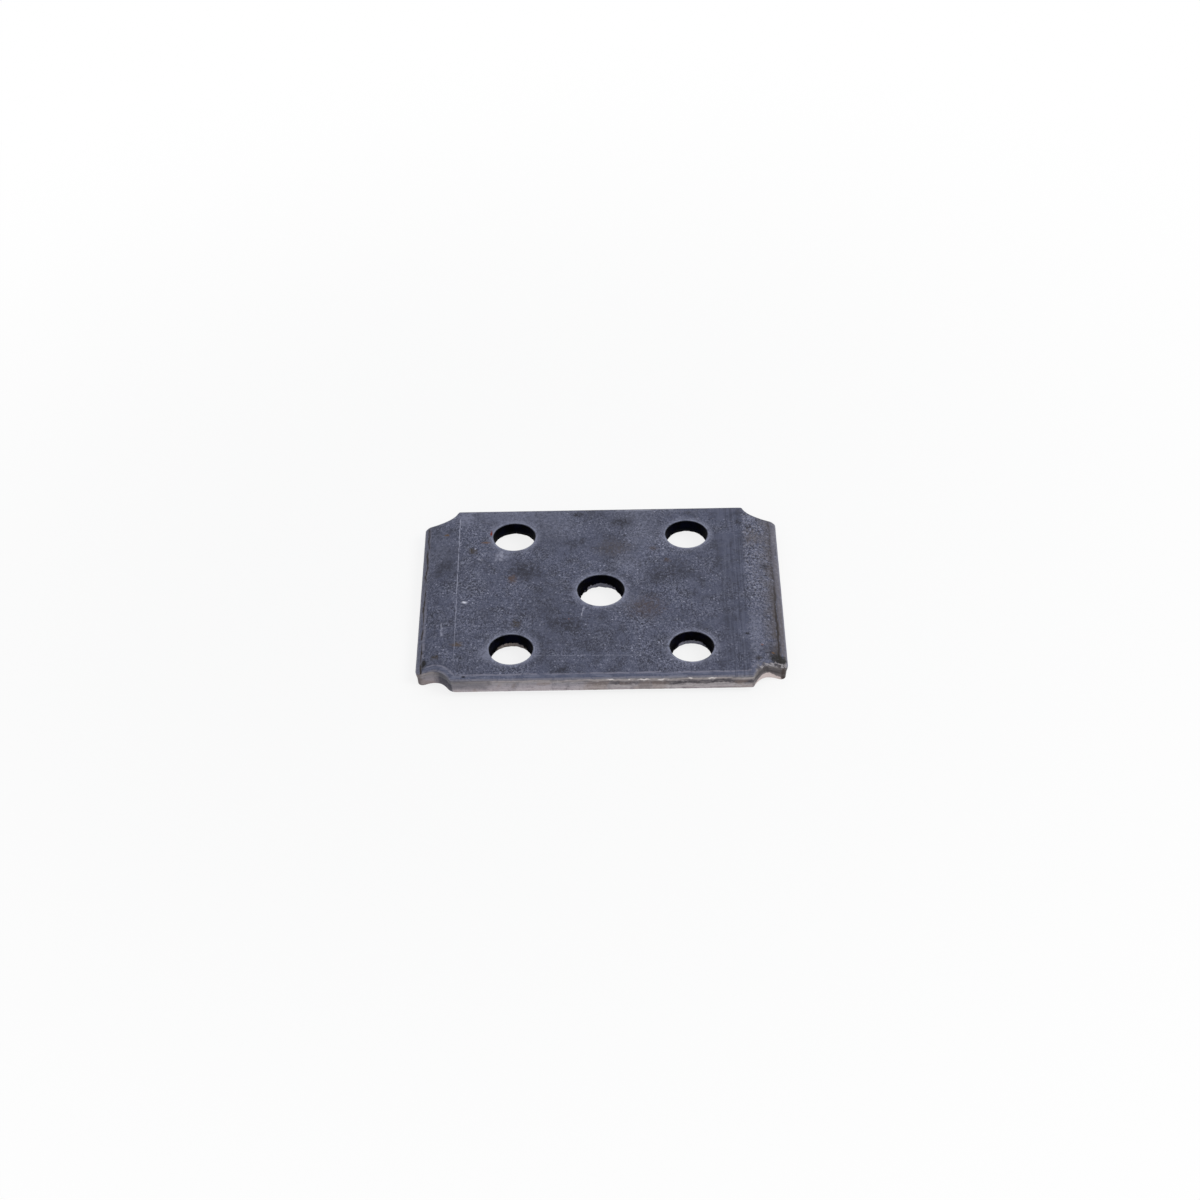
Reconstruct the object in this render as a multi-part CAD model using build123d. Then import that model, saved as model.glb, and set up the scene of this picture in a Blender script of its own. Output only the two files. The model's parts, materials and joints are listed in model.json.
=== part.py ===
from build123d import *
import os
from math import cos, radians, sin, sqrt, tan

# Leaf spring tie plate: one blank of hot-rolled plate, sheared and notched, pierced with five
# round holes, then pressed so that both ends turn down, away from the spring it seats.
#
# Frame: +Z up, origin on the centre hole's axis at the level the plate stands on.
# X runs along the plate, Y across it. Millimetres throughout.

# ---------------------------------------------------------------- driving dimensions
thickness = 5.0
# U-bolt holes, four in a rectangle about the centre hole
bolt_diameter = 12.7        # 1/2 in U-bolt
bolt_clearance = 1.6        # on the diameter
bolt_pitch_x = 58.7         # between the legs, along the plate
bolt_pitch_y = 57.15        # between the legs, across the plate
# centre hole, over the head of the spring's centre bolt
centre_bolt_head = 14.3
centre_clearance = 1.3      # on the diameter
# metal round the holes
side_margin = 14.275        # hole axis to the long edge
end_margin = 21.65          # hole axis to the bend line
# turned-down ends
lip_angle = 20.0            # degrees
bend_radius = 8.0           # inside the bend, on the underside
lip_straight = 5.1          # straight run past the bend, along its slope
# corner notches, which free the ends of the bends
notch_depth = 5.55          # in from the long edge
notch_reach = 2.54          # back past the bend line
notch_radius = 7.94         # nose of a 5/8 in punch
tab_corner_radius = 1.9     # outer corners of the turned-down ends
# end faces, and the lower corner that the plate stands on
end_lean = 9.0              # degrees from upright, foot in
toe_radius = 0.8
# sheared outline, its upper edge drawn over by the die
edge_roll_depth = 0.6       # down the sheared wall
edge_roll_radius = 1.5      # eases it into the top face
# punched holes: rolled rim above, torn flare below
rim_roll_width = 0.5
rim_roll_depth = 0.2
tear_height = 1.6
tear_flare = 0.12           # on the radius

# ---------------------------------------------------------------- derived sizes
bolt_hole_radius = (bolt_diameter + bolt_clearance) / 2
centre_hole_radius = (centre_bolt_head + centre_clearance) / 2
plate_width = bolt_pitch_y + 2 * side_margin
half_flat = bolt_pitch_x / 2 + end_margin
turn = radians(lip_angle)
outer_bend_radius = bend_radius + thickness
# where the upper bend arc runs into the straight lip, measured down from the top face
lip_start_x = half_flat + outer_bend_radius * sin(turn)
lip_start_drop = outer_bend_radius * (1 - cos(turn))
tip_x = lip_start_x + lip_straight * cos(turn)
tip_drop = lip_start_drop + lip_straight * sin(turn)
# the end face runs down from the tip to its lower corner, the toe
lean = radians(end_lean)
end_face = thickness / cos(turn - lean)
toe_x = tip_x - end_face * sin(lean)
toe_drop = tip_drop + end_face * cos(lean)
# where the lower bend arc runs into the lip
heel_x = half_flat + bend_radius * sin(turn)
heel_drop = thickness + bend_radius * (1 - cos(turn))


def pressed_plate():
    """The bent plate in side view, top face at z = 0, drawn across its full width."""
    with BuildPart() as plate:
        with BuildSketch(Plane.XZ) as plate_profile:
            with BuildLine():
                Line((0, 0), (half_flat, 0))
                RadiusArc((half_flat, 0), (lip_start_x, -lip_start_drop), outer_bend_radius)
                Line((lip_start_x, -lip_start_drop), (tip_x, -tip_drop))
                Line((tip_x, -tip_drop), (toe_x, -toe_drop))
                Line((toe_x, -toe_drop), (heel_x, -heel_drop))
                RadiusArc((heel_x, -heel_drop), (half_flat, -thickness), -bend_radius)
                Line((half_flat, -thickness), (0, -thickness))
                mirror(about=Plane.YZ)
            make_face()
            toes = plate_profile.vertices().sort_by(Axis.Y)[:2]
            fillet(toes, min(toe_radius, 0.4 * thickness))
        extrude(amount=plate_width / 2, both=True)
    return plate.part


def corner_notches():
    """A bite out of each corner with a round inner corner, running out past both edges."""
    length = 2 * (tip_x - half_flat + notch_reach + notch_radius)
    breadth = 2 * (notch_depth + notch_radius)
    inner_corner = Pos(half_flat - notch_reach, plate_width / 2 - notch_depth)
    bite = inner_corner * Rectangle(length, breadth, align=(Align.MIN, Align.MIN))
    bite = fillet(bite.vertices().sort_by(Axis.X)[:2].sort_by(Axis.Y)[0], notch_radius)
    one = extrude(bite, amount=2 * toe_drop, both=True)
    pair = one + mirror(one, Plane.YZ)
    return pair + mirror(pair, Plane.XZ)


def rounded_tabs(solid):
    """Round the upright edges where each end face meets the sides of its tab."""
    tab_side = plate_width / 2 - notch_depth
    upright = [e for e in solid.edges() if abs(abs(e.center().Y) - tab_side) < 0.01
               and abs(e.center().X) > toe_x - 0.01 and abs(e.tangent_at(0.5).Y) < 0.01
               and e.length > 0.5 * thickness]
    return solid.fillet(tab_corner_radius, upright)


def upper_skin(solid):
    """Faces that look up at all, rolled strip and lips included."""
    return [f for f in solid.faces() if f.normal_at().Z > 0.05]


def outline_edges(solid):
    """Edges where the upper skin meets the sheared walls."""
    edges = [e for f in upper_skin(solid) for e in f.edges()]
    return ShapeList(e for e in edges if edges.count(e) == 1)


def roll_start_edges(solid):
    """Edges where the rolled strip leaves the rest of the upper skin."""
    outline = outline_edges(solid)
    strip = [f for f in upper_skin(solid) if any(e in outline for e in f.edges())]
    strip_edges = [e for f in strip for e in f.edges()]
    inner = [f for f in upper_skin(solid) if f not in strip]
    return ShapeList(e for f in inner for e in f.edges() if e in strip_edges)


def rolled_outline(solid):
    """Draw the upper outline down at 45 degrees, then ease it into the top face."""
    depth = min(edge_roll_depth, 0.3 * thickness)
    widest_ease = depth * sqrt(2) / tan(radians(22.5))
    solid = solid.chamfer(depth, None, outline_edges(solid))
    return solid.fillet(min(edge_roll_radius, 0.9 * widest_ease), roll_start_edges(solid))


def punched_hole(radius):
    """Cutter for one hole: elliptical roll at the rim, straight land, then the torn flare."""
    roll_depth = min(rim_roll_depth, 0.3 * thickness)
    torn = min(tear_height, 0.6 * thickness)
    land_foot = torn - thickness
    past_exit = thickness
    mouth = radius + tear_flare * (torn + past_exit) / torn
    rim = radius + rim_roll_width
    with BuildPart() as cutter:
        with BuildSketch(Plane.XZ):
            with BuildLine():
                Line((0, thickness), (rim, thickness))
                Line((rim, thickness), (rim, 0))
                EllipticalCenterArc((rim, -roll_depth), rim_roll_width, roll_depth, 90, arc_size=90)
                Line((radius, -roll_depth), (radius, land_foot))
                Line((radius, land_foot), (mouth, -thickness - past_exit))
                Line((mouth, -thickness - past_exit), (0, -thickness - past_exit))
                Line((0, -thickness - past_exit), (0, thickness))
            make_face()
        revolve(axis=Axis.Z)
    return cutter.part


plate = rolled_outline(rounded_tabs((pressed_plate() - corner_notches()).solid()))
plate -= punched_hole(centre_hole_radius)
for x in (-bolt_pitch_x / 2, bolt_pitch_x / 2):
    for y in (-bolt_pitch_y / 2, bolt_pitch_y / 2):
        plate -= Pos(x, y) * punched_hole(bolt_hole_radius)
plate = Pos(0, 0, -plate.bounding_box().min.Z) * plate

os.makedirs("parts", exist_ok=True)
export_step(plate.solid(), "parts/tie_plate.step")
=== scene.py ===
import json
import math

import bpy
from mathutils import Matrix, Vector, noise
from mathutils.geometry import delaunay_2d_cdt


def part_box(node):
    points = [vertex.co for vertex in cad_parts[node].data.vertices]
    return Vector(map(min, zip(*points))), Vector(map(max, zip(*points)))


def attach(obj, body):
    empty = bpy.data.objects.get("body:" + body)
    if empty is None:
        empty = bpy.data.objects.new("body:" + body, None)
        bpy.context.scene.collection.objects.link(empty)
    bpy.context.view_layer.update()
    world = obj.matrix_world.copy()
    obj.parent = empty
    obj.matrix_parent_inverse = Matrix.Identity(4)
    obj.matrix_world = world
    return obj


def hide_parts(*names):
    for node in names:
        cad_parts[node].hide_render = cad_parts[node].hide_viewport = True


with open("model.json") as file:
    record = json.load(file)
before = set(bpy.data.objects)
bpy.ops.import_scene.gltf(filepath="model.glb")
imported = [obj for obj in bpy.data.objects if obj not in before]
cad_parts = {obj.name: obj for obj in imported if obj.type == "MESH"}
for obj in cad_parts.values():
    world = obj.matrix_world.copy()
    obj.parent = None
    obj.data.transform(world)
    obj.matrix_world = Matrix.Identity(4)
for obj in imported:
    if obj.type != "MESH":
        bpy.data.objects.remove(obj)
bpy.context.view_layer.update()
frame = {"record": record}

# One mesh stands for the pressed plate. It follows the CAD sizes and adds what press, punch and
# shear leave at tenths of a millimetre. Lengths are in millimetres until a point enters the mesh.
# The near edge is at -Y, and the end whose scale has cracked at +X.
MM = 0.001
mounts = {m["name"]: m for m in frame["record"]["mounts"]}
hi = Vector(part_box("tie_plate")[1]) / MM

# ------------------------------ sizes of the CAD plate
TOP = mounts["spring_seat"]["pos_m"][2] / MM
THICK = TOP - mounts["axle_side"]["pos_m"][2] / MM
HALF_W = hi.y
TURN = math.radians(20.0)                    # slope of the turned-down ends
LEAN = math.radians(9.0)                     # lean of the end faces
ROLL = 0.6                                   # how far the die draws the outline down
TIP = hi.x + ROLL * math.sin(LEAN)           # sharp upper corner of each end
FLAT = 51.0                                  # bend lines
INNER = 8.0                                  # radii of the bends' lower and upper skins
OUTER = INNER + THICK
NOTCH_R = 7.94
NOTCH_DEPTH = 5.55                           # in from the long edge
TAB_R = 1.9                                  # rounding of the tabs' corners
TOE_R = 0.8                                  # rounding of the lower corner of each end
RIM_ROLL = 0.2                               # how far the punch draws each rim down
RIM_WIDTH = 0.5
NOTCH_X = 56.4                               # centre of the notch's arc
TAB = HALF_W - NOTCH_DEPTH                   # half width between the notches
NOTCH_Y = TAB + NOTCH_R
# where the notches meet the long edges
CORNER = NOTCH_X - math.sqrt(NOTCH_R ** 2 - (NOTCH_Y - HALF_W) ** 2)
HOLE_R = mounts["u_bolt_holes"]["dims"]["hole_r_mm"]
CENTRE_R = mounts["centre_hole"]["dims"]["r_mm"]
PITCH_X = mounts["u_bolt_holes"]["dims"]["spacing_x_mm"] / 2
PITCH_Y = mounts["u_bolt_holes"]["dims"]["spacing_y_mm"] / 2
HOLES = [(0.0, 0.0, CENTRE_R)]
HOLES += [(sx * PITCH_X, sy * PITCH_Y, HOLE_R) for sx in (-1, 1) for sy in (-1, 1)]

# ------------------------------ what the tools leave on it
OUTLINE_STEP, ARC_STEP = 0.5, 0.35           # between points of the outline, on its arcs
TAB_POINTS = 9                               # round each tab corner
CORNER_EASE = 0.7                            # reach of the rounding where notch meets long edge
CORNER_FOOT = 0.5                            # more of it at the front left corner's foot
DRAWN_WIDTH = 2.1                            # strip that the die draws down
FAR_SHARE = 0.35                             # by how much less it draws the far edge
FAR_FROM, FAR_OVER = 34.0, 8.0               # where along Y that sets in, and over what run
SAG, DIMPLE = 0.035, 0.012                   # slow and fine unevenness of the upper skin
PRESS_LINE, PRESS_REACH, PRESS_DENT = 48.2, 0.5, 0.03
BROKEN_AT, BROKEN_REACH = (55.0, -39.0), (4.5, 3.5)     # crumbled edge of the front right notch
BROKEN_DROP, BROKEN_BACK, BROKEN_EDGE = 0.8, 1.3, 1.2
TEAR_FROM, LEDGE = 0.42, 0.13                # share of the wall that is cut, and step below it
BURR = 0.07                                  # at the foot, heavier along the near edge:
NEAR_BURR, NEAR_FROM, NEAR_OVER = 0.28, -30.0, 8.0


def rough(x, y, z, scale, seed, octaves=1):
    """Smooth noise about zero, its features 1/scale millimetres apart; each use has its seed."""
    p = Vector((x * scale + seed, y * scale - seed, z * scale + 2 * seed))
    if octaves == 1:
        return noise.noise(p)
    return noise.fractal(p, 1.0, 2.0, octaves)


def bend(x, radius, level):
    """Height of a skin of the bent plate over x, and its slope downwards away from the middle."""
    over = abs(x) - FLAT
    if over <= 0:
        return level, 0.0
    end = radius * math.sin(TURN)
    if over < end:
        a = math.asin(over / radius)
        return level - radius * (1 - math.cos(a)), a
    return level - radius * (1 - math.cos(TURN)) - (over - end) * math.tan(TURN), TURN


def upper(x):
    return bend(x, OUTER, TOP)


# the toe's rounding, as a circle in side view that touches the end face and the underside
END_FACE = THICK / math.cos(TURN - LEAN)
TOE_X = TIP - END_FACE * math.sin(LEAN)
TOE_Z = upper(TIP)[0] - END_FACE * math.cos(LEAN)
TO_CENTRE = TOE_R / math.sin((math.pi / 2 - TURN + LEAN) / 2)
INWARD = (math.pi / 2 - TURN - LEAN) / 2
ROUND_X = TOE_X - TO_CENTRE * math.sin(INWARD)
ROUND_Z = TOE_Z + TO_CENTRE * math.cos(INWARD)
FOOT_X = ROUND_X + TOE_R * math.cos(LEAN)
UNDER_X = ROUND_X - TOE_R * math.sin(TURN)


def lower(x):
    if abs(x) <= UNDER_X:
        return bend(x, INNER, TOP - THICK)
    off = min(abs(x), FOOT_X) - ROUND_X
    return ROUND_Z - math.sqrt(max(0.0, TOE_R ** 2 - off ** 2)), TURN


# ------------------------------ outline
def run(a, b):
    """Points from a up to, not including, b."""
    n = max(1, round((Vector(b) - Vector(a)).length / OUTLINE_STEP))
    return [Vector(a).lerp(Vector(b), i / n) for i in range(n)]


def notch_arc():
    """The notch's arc in the +X -Y corner, from the long edge to the tab."""
    start = math.atan2(NOTCH_Y - HALF_W, CORNER - NOTCH_X)
    n = round(NOTCH_R * (start - math.pi / 2) / ARC_STEP)
    out = []
    for i in range(n):
        a = start + (math.pi / 2 - start) * i / n
        out.append(Vector((NOTCH_X + NOTCH_R * math.cos(a), -NOTCH_Y + NOTCH_R * math.sin(a))))
    return out


def ease_corners(points, corners):
    """Rounds the named corners of a closed line a little, in place of the points near them."""
    out = []
    for i, p in enumerate(points):
        apart = min((p - c).length for c in corners)
        if apart > CORNER_EASE + 0.1:
            out.append(p)
        if apart > 1e-6:
            continue
        before = p + (points[i - 1] - p).normalized() * CORNER_EASE
        after = p + (points[(i + 1) % len(points)] - p).normalized() * CORNER_EASE
        for t in (0.0, 0.25, 0.5, 0.75, 1.0):
            out.append((1 - t) ** 2 * before + 2 * t * (1 - t) * p + t * t * after)
    return out


def outline():
    """Upper outline of the plate in plan, anticlockwise, before its edge is drawn down."""
    front = run((-CORNER, -HALF_W), (CORNER, -HALF_W))
    tab = run((NOTCH_X, -TAB), (TIP - TAB_R, -TAB))
    cx, cy = TIP - TAB_R, TAB_R - TAB
    turns = [math.radians(-90 + 90 * i / TAB_POINTS) for i in range(TAB_POINTS)]
    tab += [Vector((cx + TAB_R * math.cos(a), cy + TAB_R * math.sin(a))) for a in turns]
    end = run((TIP, TAB_R - TAB), (TIP, TAB - TAB_R))
    side = notch_arc() + tab
    far_side = [Vector((p.x, -p.y)) for p in side[1:]] + [Vector((TIP, TAB - TAB_R))]
    far_side.reverse()
    half = front + side + end + far_side
    corners = [Vector((sx * CORNER, sy * HALF_W)) for sx in (-1, 1) for sy in (-1, 1)]
    return ease_corners(half + [-p for p in half], corners)


EDGE = outline()


def edge_distance(p):
    """Distance from a plan point to the outline, exact near it."""
    x, y = abs(p.x), abs(p.y)
    d = [HALF_W - y if x <= CORNER else math.hypot(x - CORNER, HALF_W - y), TIP - x]
    if x >= CORNER - 4:
        if x <= NOTCH_X:
            d.append(math.hypot(x - NOTCH_X, y - NOTCH_Y) - NOTCH_R)
        else:
            d.append(TAB - y)
    if x > TIP - TAB_R and y > TAB - TAB_R:
        d.append(TAB_R - math.hypot(x - TIP + TAB_R, y - TAB + TAB_R))
    return max(0.0, min(d))


def foot_x(x):
    """The lower outline's x for an upper outline's x: the end face leans in below."""
    if abs(x) <= NOTCH_X:
        return x
    return math.copysign(NOTCH_X + (abs(x) - NOTCH_X) * (FOOT_X - NOTCH_X) / (TIP - NOTCH_X), x)


def quarter_ellipse(d, width, depth):
    """How far a rolled edge has dropped at distance d from it."""
    if d >= width:
        return 0.0
    return depth * (1 - math.sqrt(max(0.0, 1 - ((width - d) / width) ** 2)))


def roll_depth(y):
    """How far the outline is drawn down: less along the far edge than the near one."""
    return ROLL * (1 - FAR_SHARE * min(1.0, max(0.0, (y - FAR_FROM) / FAR_OVER)))


def crumbled(x, y):
    """1 at the front right notch, whose upper edge broke away in crumbs; 0 elsewhere."""
    dx, dy = (x - BROKEN_AT[0]) / BROKEN_REACH[0], (y - BROKEN_AT[1]) / BROKEN_REACH[1]
    return math.exp(-(dx ** 2 + dy ** 2) ** 2)


# ------------------------------ mesh
SCALE_SLOT, SHEARED_SLOT, PIERCED_SLOT = range(3)
ROW = 0.866                                  # height of an even triangle of side 1
JITTER = 0.25                                # of the even grid, as a share of its spacing
EDGE_GAP, RIM_GAP = 0.4, 0.5                 # between the finest rows and the even grid
LOOP_GAP = 0.04                              # between the loops and any other point
LOWER_HALF = 3.0                             # walls this far below the upper skin
verts, faces, face_slots = [], [], []
attributes = {"edge_mm": [], "depth": [], "along_mm": []}


def add(p, edge, depth=0.0, along=0.0):
    """A new vertex: distance in from the edge, share of the way down a wall, run along it."""
    verts.append(Vector(p) * MM)
    attributes["edge_mm"].append(edge)
    attributes["depth"].append(depth)
    attributes["along_mm"].append(along)
    return len(verts) - 1


def skin_point(x, y, face, d_edge, d_rim):
    """A point of the upper (1) or lower (-1) skin, with its rolled edges and unevenness."""
    z, slope = (upper if face > 0 else lower)(x)
    drop = 0.0
    if face > 0:
        broken = crumbled(x, y)
        drawn = DRAWN_WIDTH + 0.35 * rough(x, y, 0, 0.09, 3.0)
        drop += quarter_ellipse(d_edge, drawn, roll_depth(y))
        punched = RIM_WIDTH * (1.1 + 0.3 * rough(x, y, 0, 0.3, 8.0))
        drop += quarter_ellipse(d_rim, punched, RIM_ROLL)
        drop += SAG * (1 + rough(x, y, 0, 0.05, 1.0)) + DIMPLE * (1 + rough(x, y, 0, 0.35, 5.0))
        crumbs = max(0.0, 0.25 + rough(x, y, 0, 0.5, 6.0, 3))
        drop += broken * crumbs * max(0.0, 1 - d_edge / 3)
        # the bend pulls the upper skin down a little along the line of the press tool
        press = math.exp(-((abs(x) - PRESS_LINE) / PRESS_REACH) ** 2)
        drop += PRESS_DENT * press * (1 + rough(x, y, 0, 0.2, 4.0))
        drop = min(drop, roll_depth(y) + BROKEN_DROP * broken)
    side = math.copysign(1, x)
    return Vector((x - side * math.sin(slope) * drop, y, max(0.0, z - math.cos(slope) * drop)))


def ring_points(points, distances):
    """Points inside a closed line at the given distances from it, thinned out farther in."""
    out = []
    n = len(points)
    for k, dist in enumerate(distances):
        for i in range(n):
            if (i + k) % 2 and dist > 1.0:
                continue
            a, b = points[i - 1], points[(i + 1) % n]
            t = (b - a).normalized()
            out.append(points[i] + Vector((-t.y, t.x)) * dist)
    return out


def circle(cx, cy, r, n):
    turns = [2 * math.pi * i / n for i in range(n)]
    return [Vector((cx + r * math.cos(a), cy + r * math.sin(a))) for a in turns]


def rim_distance(p):
    return min(math.hypot(p.x - cx, p.y - cy) - r for cx, cy, r in HOLES)


def triangulate(loops, interior):
    """Triangles over everything inside the first loop, and how many points the loops have."""
    points, edges, start = [], [], 0
    for loop in loops:
        n = len(loop)
        points += loop
        edges += [(start + i, start + (i + 1) % n) for i in range(n)]
        start += n
    points += interior
    co, _, tris, orig, _, _ = delaunay_2d_cdt(points, edges, [], 1, 1e-7)
    return co, tris, orig, start


def inside_outline(p, margin):
    """Whether a plan point lies inside the outline, by at least the margin."""
    x, y = abs(p.x), abs(p.y)
    if y > HALF_W - margin or x > TIP - margin:
        return False
    if x > TIP - TAB_R and y > TAB - TAB_R:
        return math.hypot(x - TIP + TAB_R, y - TAB + TAB_R) < TAB_R - margin
    if x > CORNER - margin and y > TAB - margin:
        return x < NOTCH_X and math.hypot(x - NOTCH_X, y - NOTCH_Y) > NOTCH_R + margin
    return True


def inside_loop(p, cx, cy, loop):
    """Whether a point lies inside a hole's loop, whose points go round its centre evenly."""
    at = Vector((p.x - cx, p.y - cy))
    n = len(loop)
    i = int(math.atan2(at.y, at.x) / (2 * math.pi) * n % n)
    for k in (i - 1, i, i + 1):
        a, b = loop[k % n] - Vector((cx, cy)), loop[(k + 1) % n] - Vector((cx, cy))
        if a.cross(at) >= 0 > b.cross(at):
            return (b - a).cross(at - a) > 0
    return at.length < (loop[i] - Vector((cx, cy))).length


def build_skin(face, outer, outer_ids, rims, rim_ids, spacing, near_edge, near_rim):
    """Fills one skin between its outline and the hole rims, finer at the given distances."""
    interior = ring_points(outer, near_edge)
    for (cx, cy, _), rim in zip(HOLES, rims):
        centre = Vector((cx, cy))
        for dist in near_rim:
            r = max((p - centre).length for p in rim) + dist
            interior += [centre + (p - centre).normalized() * r
                         for p in circle(cx, cy, r, len(rim))]
    for j in range(int(2 * HALF_W / (spacing * ROW)) + 1):
        y = -HALF_W + j * spacing * ROW
        for i in range(int(2 * TIP / spacing) + 1):
            x = -TIP + (i + 0.5 * (j % 2)) * spacing
            x += JITTER * spacing * rough(i, j, 0, 0.77, 11.0)
            p = Vector((x, y + JITTER * spacing * rough(i, j, 0, 0.71, 17.0)))
            if (inside_outline(p, near_edge[-1] + EDGE_GAP)
                    and rim_distance(p) > near_rim[-1] + RIM_GAP):
                interior.append(p)
    kept = [p for p in interior if inside_outline(p, LOOP_GAP) and rim_distance(p) > LOOP_GAP]
    co, tris, orig, fixed = triangulate([outer] + rims, kept)
    fixed_ids = list(outer_ids)
    for ids in rim_ids:
        fixed_ids += ids
    ids = []
    for p, came_from in zip(co, orig):
        known = [o for o in came_from if o < fixed]
        if known:
            ids.append(fixed_ids[known[0]])
            continue
        d_edge, d_rim = edge_distance(p), rim_distance(p)
        ids.append(add(skin_point(p.x, p.y, face, d_edge, d_rim), d_edge))
    for tri in tris:
        p, q, r = (co[k] for k in tri)
        c = (p + q + r) / 3
        in_hole = any(inside_loop(c, cx, cy, rim) for (cx, cy, hole_r), rim in zip(HOLES, rims)
                      if (c - Vector((cx, cy))).length < hole_r + 2.0)
        if in_hole or not inside_outline(c, -0.02):
            continue
        a, b, d = (ids[k] for k in tri)
        flip = ((q - p).cross(r - p) > 0) != (face > 0)
        faces.append((a, d, b) if flip else (a, b, d))
        face_slots.append(SCALE_SLOT)


def wall_rings(top, low, normals, along, levels, shape, slot, inward):
    """Loops of vertices down a wall; shape gives each point's set-back and drop."""
    rings = []
    n = len(top)
    for s in levels:
        ring = []
        for i in range(n):
            back, drop = shape(i, s, along[i])
            q = top[i].lerp(low[i], s) - normals[i] * back
            q.z = max(0.0, q.z - drop)
            ring.append(add(q, 0.0, s, along[i]))
        rings.append(ring)
    for upper_ring, lower_ring in zip(rings, rings[1:]):
        for i in range(n):
            j = (i + 1) % n
            quad = (upper_ring[i], lower_ring[i], lower_ring[j], upper_ring[j])
            faces.append(tuple(reversed(quad)) if inward else quad)
            face_slots.append(slot)
    return rings


def plan_normals(points):
    """Outward directions of a closed line that runs anticlockwise."""
    out = []
    for i in range(len(points)):
        t = (points[(i + 1) % len(points)] - points[i - 1]).normalized()
        out.append(Vector((t.y, -t.x, 0.0)))
    return out


def lengths(points):
    """How far along a closed line each of its points is."""
    out, total = [], 0.0
    for i, p in enumerate(points):
        out.append(total)
        total += (points[(i + 1) % len(points)] - p).length
    return out


# sheared outline
edge_top = [Vector((p.x, p.y, upper(p.x)[0])) for p in EDGE]
edge_low = [Vector((foot_x(p.x), p.y, lower(foot_x(p.x))[0])) for p in EDGE]
edge_normals = plan_normals(EDGE)
edge_along = lengths(EDGE)


def sheared_wall(i, s, along):
    """Smooth cut above, a ledge where the plate began to tear, then rough to the foot."""
    p = edge_top[i]
    broken = crumbled(p.x, p.y)
    tear = TEAR_FROM + 0.09 * rough(p.x, p.y, 0, 0.07, 21.0)
    tear += 0.04 * rough(p.x, p.y, 0, 0.6, 23.0)
    ledge = LEDGE + 0.07 * rough(p.x, p.y, 0, 0.05, 24.0)
    torn = max(0.0, (s - tear) / (1 - tear))
    back = 0.02 * (1 + rough(p.x, p.y, 0, 0.22, 25.0))
    back += 0.015 * (1 + rough(along, s * 1.2, 0, 1.4, 26.0))
    back += ledge * min(1.0, 9 * torn) * (1 - torn) ** 1.5
    back += 0.06 * min(1.0, 4 * torn) * (1 + rough(along, 5 * s, 0, 0.9, 27.0, 3)) * (1.2 - torn)
    crumbs = max(0.0, rough(along, 2 * s, 0, 0.6, 28.0, 3) + 0.2)
    back += BROKEN_BACK * broken * crumbs * (1 - s)
    # the front left corner is rounded off towards its foot
    back += CORNER_FOOT * s * math.exp(-((p.x + CORNER) ** 2 + (p.y + HALF_W) ** 2))
    drop = 0.0
    if s == 1.0:
        # the burr that the shear leaves below, heaviest along the near edge
        near = max(0.0, min(1.0, (NEAR_FROM - p.y) / NEAR_OVER))
        drop = BURR * (1 + rough(p.x, p.y, 0, 0.35, 29.0, 2))
        drop += NEAR_BURR * near * (1 + rough(p.x, 0, 0, 0.05, 34.0))
    if s < 0.15:
        crumbs = max(0.0, rough(along, 0, 0, 0.55, 30.0, 3) + 0.1)
        drop = roll_depth(p.y) - ROLL + BROKEN_EDGE * broken * crumbs
    return max(0.0, back), drop


# shares of the way down at which the walls have points
EDGE_LEVELS = [ROLL / THICK, 0.17, 0.23, 0.3, 0.37, 0.44, 0.5,
               0.56, 0.63, 0.7, 0.78, 0.86, 0.93, 1.0]
HOLE_LEVELS = [RIM_ROLL / THICK, 0.1, 0.22, 0.34, 0.46, 0.56,
               0.63, 0.69, 0.75, 0.81, 0.87, 0.94, 1.0]
rings = wall_rings(edge_top, edge_low, edge_normals, edge_along, EDGE_LEVELS, sheared_wall,
                   SHEARED_SLOT, False)
outer_ids, outer_foot_ids = rings[0], rings[-1]
outer_foot = [Vector((p.x, p.y)) for p in edge_low]

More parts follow.
